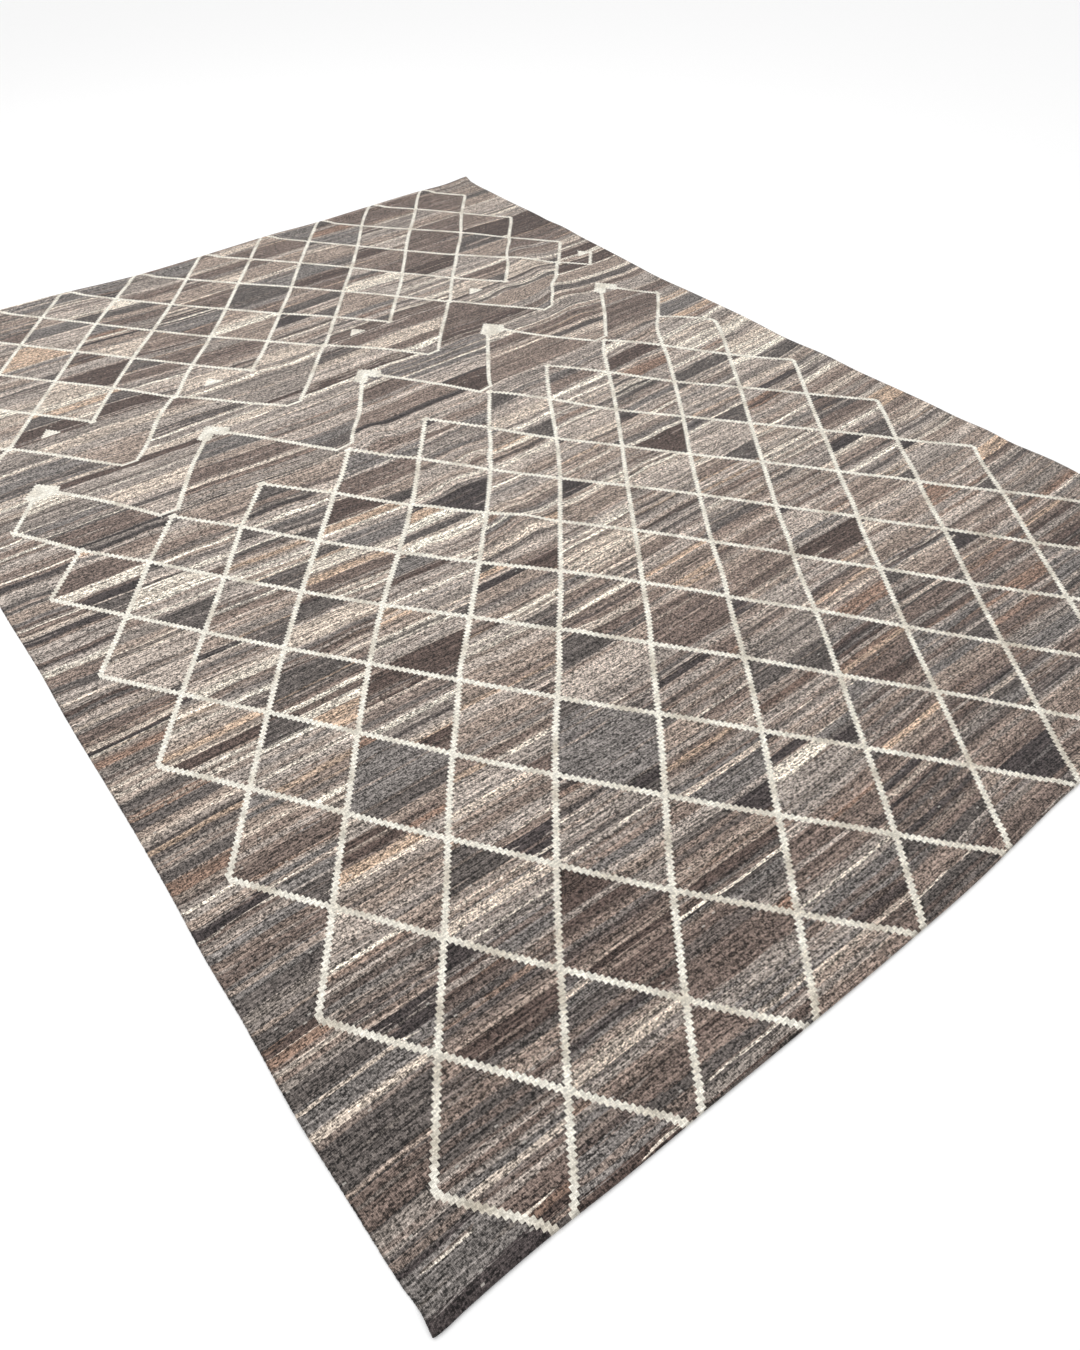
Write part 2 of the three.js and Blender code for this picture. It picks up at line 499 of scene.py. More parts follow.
def cloth_mesh(stops):
    """The closed sheet, with its pattern places and its flat map."""
    turns = np.array([weft_turn(fullness) for fullness in stops[:, 4]])
    points, weave = set_in_place(stops, turns[..., 0], turns[..., 1])
    rings, size = turns.shape[:2]
    ring, column = np.divmod(np.arange((rings - 1) * size), size)
    a, b = ring * size + column, ring * size + (column + 1) % size
    quads = np.stack([a, b, b + size, a + size], -1).tolist()
    near_cap = [cap[::-1] for cap in end_cap(0)]
    mesh = bpy.data.meshes.new("kilim_weave")
    far_cap = end_cap((rings - 1) * size)
    mesh.from_pydata(points.tolist(), [], quads + near_cap + far_cap)
    add_weave(mesh, weave, np.minimum(turns[..., 0], RUG_WIDTH - turns[..., 0]))

    corner = np.zeros(len(mesh.loops), np.int64)
    mesh.loops.foreach_get("vertex_index", corner)
    across, along = flat_map(turns[0], stops)
    flat = np.stack([across[corner % size], along[corner // size]], -1)
    sides = np.stack([across[column], across[column + 1], across[column + 1], across[column]], -1)
    flat[: sides.size, 0] = sides.ravel()
    mesh.uv_layers.new(name="OFBake").uv.foreach_set("vector", flat.ravel())
    mesh.shade_smooth()
    return mesh


def new_piece(name, mesh):
    piece = bpy.data.objects.new(name, mesh)
    bpy.context.scene.collection.objects.link(piece)
    return piece


# The selvedges, where the weft yarn turns round the outer warps


def selvedge_lines(stops):
    """One line down each selvedge, with its pattern places and how large the turns are."""
    mesh = bpy.data.meshes.new("selvedge_lines")
    points, places, sizes, edges = [], [], [], []
    for inset in (TURN_INSET, RUG_WIDTH - TURN_INSET):
        first = len(points)
        middle = (CLOTH_THICKNESS + (SELVEDGE_THICKNESS - CLOTH_THICKNESS) * stops[:, 4:5]) / 2
        line, weave = set_in_place(stops, np.full((1, 1), inset), middle)
        points += line.tolist()
        places += weave.tolist()
        sizes += (2 * middle[:, 0] / SELVEDGE_THICKNESS).tolist()
        edges += [(i, i + 1) for i in range(first, len(points) - 1)]
    mesh.from_pydata(points, edges, [])
    add_weave(mesh, places, np.full(len(points), TURN_INSET))
    mesh.attributes.new("turn_size", "FLOAT", "POINT").data.foreach_set("value", sizes)
    return mesh


def turns_tree():
    """Geometry nodes that wind a yarn round a line, one turn at each pitch."""
    tree = bpy.data.node_groups.new("selvedge_turns", "GeometryNodeTree")
    made = {
        "NodeSocketGeometry": ("Line",),
        "NodeSocketFloat": ("Pitch", "Half Width", "Half Height", "Yarn Radius", "Yarn Half Thickness"),
        "NodeSocketInt": ("Turn Sides", "Yarn Sides", "Seed"),
        "NodeSocketMaterial": ("Wool",),
    }
    for kind, names in made.items():
        for name in names:
            tree.interface.new_socket(name, in_out="INPUT", socket_type=kind)
    tree.interface.new_socket("Turns", in_out="OUTPUT", socket_type="NodeSocketGeometry")
    source = tree.nodes.new("NodeGroupInput").outputs

    def node(kind, settings=None, inputs=None):
        new = tree.nodes.new(kind)
        for name, value in (settings or {}).items():
            setattr(new, name, value)
        for name, value in (inputs or {}).items():
            if isinstance(value, bpy.types.NodeSocket):
                tree.links.new(value, new.inputs[name])
            else:
                new.inputs[name].default_value = value
        return new

    def number(operation, *values):
        return node("ShaderNodeMath", {"operation": operation}, dict(enumerate(values))).outputs[0]

    def vector(x, y, z):
        return node("ShaderNodeCombineXYZ", inputs={"X": x, "Y": y, "Z": z}).outputs[0]

    line = node("GeometryNodeMeshToCurve", inputs={"Mesh": source["Line"]}).outputs[0]
    stations = node(
        "GeometryNodeResampleCurve", {"mode": "LENGTH"}, {"Curve": line, "Length": source["Pitch"]}
    ).outputs[0]

    ring = node(
        "GeometryNodeCurvePrimitiveCircle", inputs={"Resolution": source["Turn Sides"], "Radius": 1.0}
    ).outputs[0]
    wide = number("SUBTRACT", source["Half Width"], source["Yarn Half Thickness"])
    high = number("SUBTRACT", source["Half Height"], source["Yarn Half Thickness"])
    ring = node(
        "GeometryNodeTransform",
        inputs={"Geometry": ring, "Rotation": (math.pi / 2, 0, 0), "Scale": vector(wide, high, 1.0)},
    ).outputs[0]
    yarn = node(
        "GeometryNodeCurvePrimitiveCircle", inputs={"Resolution": source["Yarn Sides"], "Radius": 1.0}
    ).outputs[0]
    thick = vector(source["Yarn Half Thickness"], source["Yarn Radius"], 1.0)
    yarn = node("GeometryNodeTransform", inputs={"Geometry": yarn, "Scale": thick}).outputs[0]
    turn = node("GeometryNodeCurveToMesh", inputs={"Curve": ring, "Profile Curve": yarn}).outputs[0]

    tangent = node("GeometryNodeInputTangent").outputs[0]
    facing = node(
        "FunctionNodeAlignRotationToVector", {"axis": "Y", "pivot_axis": "X"}, {"Vector": tangent}
    ).outputs[0]
    uneven = node(
        "FunctionNodeRandomValue",
        {"data_type": "FLOAT_VECTOR"},
        {"Min": (0.78, 0.9, 0.9), "Max": (1.2, 1.1, 1.0), "Seed": source["Seed"]},
    ).outputs[0]
    size = node(
        "GeometryNodeInputNamedAttribute", {"data_type": "FLOAT"}, {"Name": "turn_size"}
    ).outputs[0]
    scale = node(
        "ShaderNodeVectorMath", {"operation": "MULTIPLY"}, {0: uneven, 1: vector(size, 1.0, size)}
    ).outputs[0]
    turns = node(
        "GeometryNodeInstanceOnPoints",
        inputs={"Points": stations, "Instance": turn, "Rotation": facing, "Scale": scale},
    ).outputs[0]
    turns = node("GeometryNodeRealizeInstances", inputs={"Geometry": turns}).outputs[0]
    turns = node("GeometryNodeSetShadeSmooth", inputs={"Geometry": turns}).outputs[0]
    turns = node(
        "GeometryNodeSetMaterial", inputs={"Geometry": turns, "Material": source["Wool"]}
    ).outputs[0]
    tree.links.new(turns, tree.nodes.new("NodeGroupOutput").inputs[0])
    return tree


def selvedge_turns(stops, wool):
    lines = new_piece("selvedge_lines", selvedge_lines(stops))
    winding = lines.modifiers.new("turns", "NODES")
    winding.node_group = turns_tree()
    sizes = {
        "Pitch": TURN_PITCH * MM,
        "Half Width": TURN_HALF_WIDTH * MM,
        "Half Height": SELVEDGE_THICKNESS / 2 * MM,
        "Yarn Radius": YARN_RADIUS * MM,
        "Yarn Half Thickness": YARN_HALF_THICKNESS * MM,
        "Turn Sides": TURN_SIDES,
        "Yarn Sides": YARN_SIDES,
        "Seed": TURN_SEED,
        "Wool": wool,
    }
    for socket in winding.node_group.interface.items_tree:
        if socket.in_out == "INPUT" and socket.name in sizes:
            winding[socket.identifier] = sizes[socket.name]
    shown = lines.evaluated_get(bpy.context.evaluated_depsgraph_get())
    turns = new_piece("selvedge_turns", bpy.data.meshes.new_from_object(shown))
    bpy.data.objects.remove(lines)
    return turns


# Shader maths


class Amount:
    """A number that changes over the cloth. Arithmetic on it adds Math nodes."""

    def __init__(self, dye, socket):
        self.dye = dye
        self.socket = socket

    def __add__(self, other):
        return self.dye.math("ADD", self, other)

    def __sub__(self, other):
        return self.dye.math("SUBTRACT", self, other)

    def __rsub__(self, other):
        return self.dye.math("SUBTRACT", other, self)

    def __mul__(self, other):
        return self.dye.math("MULTIPLY", self, other)

    def __truediv__(self, other):
        return self.dye.math("DIVIDE", self, other)

    def __gt__(self, other):
        return self.dye.math("GREATER_THAN", self, other)

    def __lt__(self, other):
        return self.dye.math("LESS_THAN", self, other)

    __radd__ = __add__
    __rmul__ = __mul__


class Dye:
    """A material while its nodes are being laid out."""

    def __init__(self, name):
        self.material = bpy.data.materials.new(name)
        self.material.use_nodes = True
        self.tree = self.material.node_tree
        self.tree.nodes.clear()

    def node(self, kind, settings=None, inputs=None):
        new = self.tree.nodes.new("ShaderNode" + kind)
        for name, value in (settings or {}).items():
            if name == "stops":
                self.set_stops(new.color_ramp, value)
            else:
                setattr(new, name, value)
        for name, value in (inputs or {}).items():
            if isinstance(value, Amount):
                value = value.socket
            if isinstance(value, bpy.types.NodeSocket):
                self.tree.links.new(value, new.inputs[name])
            else:
                new.inputs[name].default_value = value
        return new

    def set_stops(self, ramp, stops):
        """Stops are rows of place and colour, each held until the next one."""
        ramp.interpolation = "CONSTANT"
        while len(ramp.elements) < len(stops):
            ramp.elements.new(1)
        for element, (place, colour) in zip(ramp.elements, stops):
            element.position = place
            element.color = colour

    def math(self, operation, *values):
        made = self.node("Math", {"operation": operation}, dict(enumerate(values)))
        return Amount(self, made.outputs[0])

    def blend(self, share, first, second):
        """One colour over another."""
        inputs = {0: share, 6: first, 7: second}
        return self.node("Mix", {"data_type": "RGBA", "blend_type": "MIX"}, inputs).outputs[2]

    def scaled(self, colour, share):
        return self.node("VectorMath", {"operation": "SCALE"}, {0: colour, "Scale": share}).outputs[0]

    def vector(self, x, y, z=0.0):
        return self.node("CombineXYZ", inputs={"X": x, "Y": y, "Z": z}).outputs[0]

    def parts(self, kind, socket):
        """The three numbers of a vector or a colour."""
        source = "Vector" if kind == "SeparateXYZ" else "Color"
        split = self.node(kind, inputs={source: socket}).outputs
        return [Amount(self, split[i]) for i in range(3)]

    def ease(self, value, start, end):
        """0 before the start, 1 past the end, and an even ease between."""
        settings = {"interpolation_type": "SMOOTHSTEP"}
        inputs = {"Value": value, "From Min": start, "From Max": end}
        return Amount(self, self.node("MapRange", settings, inputs).outputs[0])

    def noise(self, x, y, detail=0.0, roughness=0.5):
        """Soft unevenness about 0.5, with one swell to a unit."""
        settings = {"noise_dimensions": "2D"}
        inputs = {"Vector": self.vector(x, y), "Scale": 1.0, "Detail": detail, "Roughness": roughness}
        return Amount(self, self.node("TexNoise", settings, inputs).outputs[0])

    def scatter(self, x, y):
        """Three numbers from 0 to 1 that are alike only where both whole numbers are."""
        made = self.node("TexWhiteNoise", {"noise_dimensions": "2D"}, {"Vector": self.vector(x, y)})
        return self.parts("SeparateColor", made.outputs["Color"])

    def runs(self, distance):
        """Three numbers from 0 to 1 for each of the uneven runs that a line falls into."""
        settings = {"voronoi_dimensions": "1D"}
        made = self.node("TexVoronoi", settings, {"W": distance, "Scale": 1.0, "Randomness": 1.0})
        return self.parts("SeparateColor", made.outputs["Color"])


# The pattern. Its shapes are ruled on the plan of the cloth, in millimetres


def lattice(dye, across, along):
    """The diamonds: how near a line is, which cell this is, and the column and row within it."""
    column = (across - FIRST_COLUMN) / COLUMN_PITCH
    upper = along > UPPER_FROM
    lower_row = dye.math(
        "MAXIMUM",
        (along - ROWS_START) / ROW_PITCH,
        (along - SHORT_ROW_START) / SHORT_ROW_PITCH + (LOWER_ROWS - 1),
    )
    upper_row = (UPPER_ROWS_END - along) / UPPER_ROW_PITCH
    row = lower_row + (upper_row - lower_row) * upper
    rising = (column + row - 1) / 2
    falling = (column - row - 1) / 2
    near = dye.math("MINIMUM", *(dye.math("PINGPONG", line, 0.5) for line in (rising, falling)))
    right, left = dye.math("FLOOR", rising), dye.math("FLOOR", falling)
    return {
        "column": column,
        "row": row,
        "upper": upper,
        "last_row": upper * (UPPER_ROWS - LOWER_ROWS) + LOWER_ROWS,
        "from_line": near * (2 * COLUMN_PITCH),
        "cell_column": right + left + 2,
        "cell_row": right - left,
    }


def within(dye, value, middle, half):
    """1 where a value lies within half of the middle."""
    return dye.math("COMPARE", value, middle, half)


def either(dye, *masks):
    """The most of several masks."""
    most = masks[0]
    for mask in masks[1:]:
        most = dye.math("MAXIMUM", most, mask)
    return most


def from_peaks(dye, column, first):
    """Distance across from the nearest of the places that come every four columns."""
    return dye.math("PINGPONG", column - first, 2.0) * COLUMN_PITCH


def zigzag(dye, column, valley_at, flat, slope):
    """The height of a zigzag whose valleys have flat bottoms, and the half height of its line."""
    aside = from_peaks(dye, column, FIRST_VALLEY) - flat
    height = dye.math("MAXIMUM", aside, 0.0) * slope + valley_at
    return height, (aside > 0) * (LINE_HALF * slope - BAR_HALF) + BAR_HALF


def cream_shapes(dye, plan, along):
    """The cream lines, caps and small triangles, and the shapes that the zigzags close in."""
    column, row, upper = plan["column"], plan["row"], plan["upper"]
    middle = LAST_COLUMN / 2
    from_middle = dye.math("ABSOLUTE", column - middle)
    beyond = (from_middle - (middle - 1)) * COLUMN_PITCH
    inside = beyond < COLUMN_PITCH + BARB
    lines = (plan["from_line"] < LINE_HALF) * inside * (row < plan["last_row"] + 0.04)

    crown, crown_half = zigzag(dye, column, CROWN_VALLEY, CROWN_FLAT, CROWN_SLOPE)
    crown_line = within(dye, along, crown, crown_half) * inside
    foot = beyond * CROWN_SLOPE + CROWN_FOOT
    foot_line = within(dye, along, foot, LINE_HALF * CROWN_SLOPE) * (beyond > 0) * inside
    under_crown = (along < crown) * (along > foot) * (beyond < COLUMN_PITCH)

    swag, swag_half = zigzag(dye, column, SWAG_VALLEY, SWAG_FLAT, SWAG_SLOPE)
    swag_line = within(dye, along, swag, swag_half) * (beyond < 0)
    over_swag = (along > swag) * (beyond < 0)

    hook_place = (from_middle - HOOK_COLUMN) * COLUMN_PITCH
    hook = dye.math("ABSOLUTE", hook_place) * HOOK_SLOPE + HOOK_TIP
    hook_line = within(dye, along, hook, LINE_HALF * HOOK_SLOPE) * (hook_place < HOOK_REACH)
    hook_bar = within(dye, along, HOOK_BAR, BAR_HALF) * (hook_place > HOOK_REACH)
    hooks = (hook_line + hook_bar) * (beyond > 0)

    from_peak = from_peaks(dye, column, FIRST_PEAK)
    wing = dye.math("MINIMUM", (CAP_TOP - along) * CAP_SPREAD, (along - CAP_FOOT) / 2 + CAP_NECK)
    windowed = dye.math("PINGPONG", column - FIRST_SOLID_CAP, SOLID_CAPS_APART / 2) > 2.0
    window = (from_peak < (WINDOW_TOP - along) * WINDOW_SPREAD) * windowed
    cap = (from_peak < wing) * (along > CAP_FOOT) * (1 - window)
    from_tooth = from_peaks(dye, column, FIRST_TOOTH)
    tooth = (from_tooth < (TOOTH_TOP - along) * TOOTH_SPREAD) * (along > TOOTH_FOOT)

    cream = either(dye, lines, crown_line, foot_line, swag_line, hooks, cap, tooth)
    return cream, under_crown * (1 - upper), over_swag * upper


# The wool


def seen(red, green, blue):
    """The dye for wool that looks this colour, in 0 to 255, in the scene's light."""
    parts = []
    for part in (red, green, blue):
        share = part / 255
        linear = share / 12.92 if share <= 0.04045 else ((share + 0.055) / 1.055) ** 2.4
        parts.append(linear / LIGHT_LEVEL)
    return (*parts, 1.0)


CREAM = seen(250, 245, 232)
DULL_CREAM = seen(204, 194, 177)
FLECK = seen(205, 199, 190)

# Yarns of the ground from dark to light: the share of it that each takes, and how it looks
YARNS = {
    "ink": (4, (71, 64, 63)),
    "peat": (6, (89, 75, 69)),
    "coal": (8, (98, 91, 87)),
    "umber": (10, (117, 102, 94)),
    "slate": (7, (123, 117, 113)),
    "rust": (2, (142, 117, 102)),
    "earth": (11, (137, 121, 111)),
    "ash": (10, (147, 137, 129)),
    "fawn": (12, (160, 144, 132)),
    "stone": (10, (170, 159, 150)),
    "dove": (8, (185, 172, 161)),
    "tan": (1.5, (192, 167, 145)),
    "oat": (5, (204, 189, 174)),
    "pale": (3, (221, 210, 195)),
    "cream": (2, (242, 233, 217)),
}

# Single bands of the rug, read from the photo. A shape is named by its column, or
# by its column and row, and each band is from, to and yarn.
CHART = {
    "lower cell": {
        (3, 1): ((131, 158, "oat"),),
        (5, 1): ((243, 249, "ink"), (250, 256, "pale")),
        (7, 1): ((252, 270, "dove"), (138, 143, "pale")),
        (9, 1): ((176, 184, "ink"), (210, 224, "ink")),
        (11, 1): ((20, 100, "ink"),),
        (2, 2): ((266, 286, "peat"), (415, 455, "ink")),
        (6, 2): ((247, 253, "pale"), (276, 292, "peat")),
        (8, 2): ((356, 388, "pale"), (392, 412, "ink")),
        (10, 2): ((270, 285, "tan"),),
        (1, 3): ((362, 406, "ink"), (525, 534, "pale")),
        (3, 3): ((465, 490, "oat"), (530, 610, "coal")),
        (7, 3): ((330, 376, "ink"), (443, 456, "oat"), (550, 600, "fawn")),
        (9, 3): ((337, 362, "ink"),),
        (15, 3): ((385, 420, "rust"),),
        (2, 4): ((654, 668, "oat"), (700, 744, "peat")),
        (4, 4): ((500, 560, "ink"), (664, 680, "oat")),
        (6, 4): ((510, 532, "ink"), (538, 750, "slate")),
        (8, 4): ((690, 712, "ink"),),
        (10, 4): ((742, 778, "ink"),),
        (14, 4): ((744, 782, "oat"),),
        (16, 4): ((712, 786, "rust"),),
        (3, 5): ((750, 782, "coal"), (790, 930, "slate")),
        (7, 5): ((775, 850, "dove"), (862, 935, "coal")),
        (9, 5): ((740, 880, "umber"),),
        (13, 5): ((738, 812, "peat"), (850, 935, "dove")),
        (17, 5): ((922, 962, "ink"),),
        (2, 6): ((972, 981, "pale"), (1050, 1112, "coal")),
        (4, 6): ((840, 874, "peat"), (1020, 1100, "peat")),
        (8, 6): ((868, 892, "coal"), (1070, 1100, "slate")),
        (10, 6): ((908, 922, "tan"), (978, 990, "tan")),
        (16, 6): ((1038, 1080, "ink"),),
        (1, 7): ((1088, 1118, "peat"),),
        (3, 7): ((1005, 1062, "tan"), (1064, 1088, "pale"), (1150, 1230, "coal")),
        (5, 7): ((1000, 1112, "peat"),),
        (7, 7): ((1200, 1225, "ink"),),
        (15, 7): ((1148, 1164, "pale"),),
        (2, 8): ((1264, 1292, "pale"), (1384, 1400, "ink")),
        (4, 8): ((1290, 1356, "oat"), (1365, 1420, "coal")),
        (6, 8): ((1356, 1380, "peat"), (1385, 1444, "slate")),
        (8, 8): ((1150, 1222, "peat"),),
        (14, 8): ((1165, 1235, "coal"), (1262, 1380, "dove")),
        (1, 9): ((1340, 1415, "dove"),),
        (3, 9): ((1540, 1615, "stone"),),
        (5, 9): ((1450, 1480, "umber"), (1520, 1565, "pale"), (1575, 1610, "coal")),
        (7, 9): ((1445, 1474, "cream"), (1490, 1520, "coal"), (1530, 1562, "cream"), (1564, 1600, "tan")),
        (9, 9): ((1322, 1350, "tan"),),
        (13, 9): ((1335, 1450, "peat"), (1572, 1606, "ink")),
        (17, 9): ((1410, 1434, "ink"),),
        (2, 10): ((1560, 1588, "coal"), (1648, 1670, "cream"), (1671, 1718, "pale")),
        (4, 10): ((1682, 1710, "coal"),),
        (6, 10): (
            (1540, 1620, "slate"), (1645, 1654, "cream"), (1655, 1682, "tan"), (1688, 1768, "peat"),
        ),
        (8, 10): ((1487, 1612, "ink"),),
        (16, 10): ((1620, 1672, "coal"),),
        (1, 11): ((1725, 1765, "ink"), (1769, 1804, "pale"), (1806, 1875, "umber")),
        (5, 11): ((1822, 1834, "ink"),),
        (7, 11): ((1765, 1840, "umber"), (1850, 1915, "slate")),
        (9, 11): ((1910, 1940, "ink"),),
        (13, 11): ((1797, 1815, "cream"),),
        (15, 11): ((1732, 1775, "rust"), (1805, 1850, "peat")),
    },
    "upper cell": {
        (4, 0): ((3360, 3410, "ash"), (3412, 3480, "slate")),
        (6, 0): ((3420, 3480, "slate"),),
        (8, 0): ((3380, 3480, "slate"),),
        (10, 0): ((3365, 3428, "umber"), (3446, 3468, "oat")),
        (12, 0): ((3380, 3480, "slate"),),
        (14, 0): ((3380, 3480, "umber"),),
        (16, 0): ((3380, 3480, "umber"),),
        (5, 1): ((3212, 3264, "coal"), (3293, 3338, "dove"), (3420, 3480, "slate")),
        (7, 1): ((3221, 3282, "fawn"), (3284, 3330, "umber"), (3365, 3485, "ash")),
        (9, 1): ((3205, 3273, "oat"), (3302, 3352, "umber"), (3360, 3374, "oat"), (3383, 3470, "fawn")),
        (11, 1): ((3200, 3272, "fawn"), (3320, 3414, "umber"), (3419, 3470, "fawn")),
        (13, 1): ((3225, 3345, "slate"), (3365, 3419, "rust")),
        (15, 1): ((3212, 3311, "ash"), (3356, 3473, "umber")),
        (17, 1): ((3225, 3440, "umber"),),
        (4, 2): ((3016, 3190, "dove"), (3198, 3264, "slate"), (3270, 3328, "fawn")),
        (6, 2): (
            (3055, 3120, "ash"), (3122, 3170, "umber"), (3178, 3210, "fawn"), (3214, 3257, "coal"),
            (3264, 3345, "pale"),
        ),
        (8, 2): ((3050, 3165, "umber"), (3171, 3250, "fawn"), (3257, 3280, "umber")),
        (10, 2): ((3035, 3155, "slate"), (3185, 3262, "fawn"), (3268, 3328, "umber")),
        (12, 2): ((3072, 3104, "coal"), (3106, 3130, "slate"), (3140, 3230, "fawn")),
        (14, 2): ((3086, 3145, "dove"), (3192, 3250, "ash")),
        (16, 2): ((3035, 3175, "umber"), (3185, 3238, "fawn"), (3268, 3330, "ash")),
        (3, 3): ((2916, 2987, "stone"), (2996, 3018, "slate"), (3024, 3156, "tan")),
        (5, 3): ((2872, 2994, "oat"), (3043, 3057, "ink"), (3068, 3082, "pale"), (3115, 3165, "slate")),
        (7, 3): (
            (2882, 2960, "umber"), (2962, 3030, "slate"), (3040, 3048, "ink"), (3049, 3058, "cream"),
            (3066, 3074, "ink"), (3080, 3088, "ink"), (3094, 3102, "oat"), (3108, 3114, "ink"),
            (3118, 3128, "oat"),
        ),
        (9, 3): ((2872, 2958, "umber"), (2962, 2985, "slate"), (2987, 3160, "coal")),
        (11, 3): ((2875, 2980, "umber"), (2988, 3057, "peat"), (3060, 3156, "slate")),
        (13, 3): ((2880, 2962, "umber"), (2968, 3068, "earth"), (3072, 3150, "peat")),
        (15, 3): ((2880, 3165, "umber"),),
        (17, 3): ((2890, 3036, "peat"), (3042, 3160, "earth")),
        (4, 4): ((2728, 2866, "peat"), (2870, 2920, "stone"), (2924, 2990, "peat")),
        (6, 4): ((2722, 2822, "umber"), (2826, 2858, "ash"), (2862, 2876, "peat"), (2880, 3005, "earth")),
        (8, 4): (
            (2720, 2855, "fawn"), (2857, 2868, "cream"), (2872, 2880, "cream"), (2924, 3008, "fawn"),
        ),
        (10, 4): ((2832, 2886, "coal"), (2915, 2996, "fawn")),
        (12, 4): (
            (2720, 2826, "stone"), (2834, 2840, "cream"), (2842, 2906, "pale"), (2926, 2950, "coal"),
            (2953, 3004, "dove"),
        ),
        (14, 4): ((2720, 2780, "dove"), (2790, 2878, "peat"), (2880, 3012, "umber")),
        (16, 4): ((2755, 2864, "fawn"), (2870, 3004, "coal")),
        (3, 5): ((2645, 2681, "tan"), (2726, 2852, "oat")),
        (5, 5): ((2710, 2760, "umber"), (2764, 2845, "coal")),
        (7, 5): ((2640, 2680, "earth"), (2682, 2750, "umber"), (2755, 2842, "ash")),
        (9, 5): ((2690, 2699, "ink"), (2764, 2845, "ink")),
        (11, 5): ((2690, 2855, "fawn"),),
        (13, 5): ((2780, 2790, "coal"),),
        (15, 5): ((2645, 2685, "umber"), (2710, 2842, "stone")),
        (17, 5): ((2750, 2842, "umber"),),
    },
    "crown": {
        1: (
            (1948, 1957, "ink"), (1960, 2027, "umber"), (2030, 2041, "coal"), (2044, 2067, "ash"),
            (2070, 2102, "slate"), (2108, 2177, "ash"), (2180, 2262, "pale"),
        ),
        5: (
            (1945, 1952, "ink"), (1955, 2000, "ash"), (2008, 2022, "umber"), (2024, 2032, "oat"),
            (2036, 2105, "umber"), (2108, 2136, "fawn"), (2142, 2224, "slate"), (2228, 2266, "earth"),
        ),
        9: (
            (1955, 1987, "dove"), (1990, 2006, "ink"), (2012, 2080, "earth"), (2084, 2110, "dove"),
            (2114, 2133, "ash"), (2136, 2201, "umber"), (2205, 2227, "pale"), (2232, 2262, "slate"),
        ),
        13: (
            (1962, 2102, "earth"), (2106, 2115, "oat"), (2117, 2138, "fawn"), (2140, 2198, "umber"),
            (2200, 2262, "pale"),
        ),
        17: ((1975, 2150, "umber"), (2165, 2262, "earth")),
    },
    "valley": {
        3: (
            (1956, 2028, "dove"), (2031, 2048, "coal"), (2052, 2077, "dove"), (2079, 2136, "oat"),
            (2140, 2165, "stone"), (2178, 2197, "ash"), (2200, 2248, "stone"), (2251, 2278, "peat"),
        ),
        7: (
            (1976, 2018, "coal"), (2022, 2074, "slate"), (2080, 2128, "dove"), (2136, 2160, "ash"),
            (2170, 2222, "stone"), (2226, 2233, "oat"),
        ),
        11: (
            (1960, 2068, "peat"), (2080, 2116, "dove"), (2118, 2156, "stone"), (2160, 2178, "slate"),
            (2181, 2189, "cream"), (2196, 2226, "slate"), (2228, 2235, "oat"), (2237, 2276, "slate"),
        ),
        15: (
            (1968, 2030, "fawn"), (2036, 2072, "oat"), (2080, 2106, "coal"), (2110, 2115, "oat"),
            (2128, 2150, "umber"), (2164, 2196, "umber"), (2200, 2216, "fawn"), (2220, 2262, "ash"),
        ),
        19: ((2136, 2196, "umber"), (2206, 2278, "stone")),
    },
    "hill": {
        1: (
            (2284, 2296, "oat"), (2298, 2311, "slate"), (2313, 2333, "coal"), (2336, 2404, "slate"),
            (2409, 2416, "oat"), (2424, 2490, "ash"),
        ),
        5: (
            (2284, 2314, "oat"), (2318, 2346, "ash"), (2349, 2358, "cream"), (2360, 2394, "coal"),
            (2396, 2428, "stone"), (2432, 2457, "oat"), (2480, 2515, "umber"),
        ),
        9: ((2297, 2332, "peat"), (2342, 2405, "dove"), (2408, 2440, "oat"), (2443, 2479, "coal")),
        13: ((2284, 2348, "peat"), (2352, 2535, "umber")),
        17: (
            (2284, 2311, "earth"), (2314, 2328, "oat"), (2332, 2368, "coal"), (2372, 2389, "pale"),
            (2396, 2450, "fawn"), (2458, 2520, "peat"), (2525, 2549, "fawn"),
        ),
    },
    "swag": {
        3: (
            (2274, 2402, "fawn"), (2405, 2438, "stone"), (2440, 2484, "oat"), (2488, 2530, "ash"),
            (2533, 2549, "peat"), (2552, 2608, "peat"), (2612, 2668, "coal"),
        ),
        7: (
            (2282, 2314, "stone"), (2318, 2336, "peat"), (2345, 2422, "ash"), (2425, 2432, "stone"),
            (2434, 2490, "ash"), (2497, 2505, "oat"), (2550, 2618, "oat"),
        ),
        11: (
            (2275, 2318, "ash"), (2322, 2348, "cream"), (2352, 2388, "earth"), (2390, 2458, "oat"),
            (2464, 2529, "umber"), (2535, 2585, "umber"),
        ),
        15: (
            (2278, 2305, "slate"), (2318, 2341, "umber"), (2344, 2378, "stone"), (2380, 2462, "fawn"),
            (2466, 2474, "coal"), (2550, 2640, "oat"),
        ),
    },
    "left": {
        0: (
            (30, 78, "slate"), (110, 148, "ash"), (152, 206, "umber"), (209, 216, "fawn"),
            (219, 292, "coal"), (303, 319, "oat"), (322, 350, "slate"), (353, 360, "oat"),
            (364, 400, "coal"), (426, 436, "oat"), (444, 462, "rust"), (463, 478, "peat"),
            (479, 510, "coal"), (612, 648, "umber"), (722, 748, "ink"), (768, 784, "stone"),
            (785, 792, "pale"), (832, 864, "rust"), (866, 892, "coal"), (1034, 1054, "rust"),
            (1060, 1086, "coal"), (1132, 1139, "oat"), (1250, 1259, "ink"), (1261, 1276, "oat"),
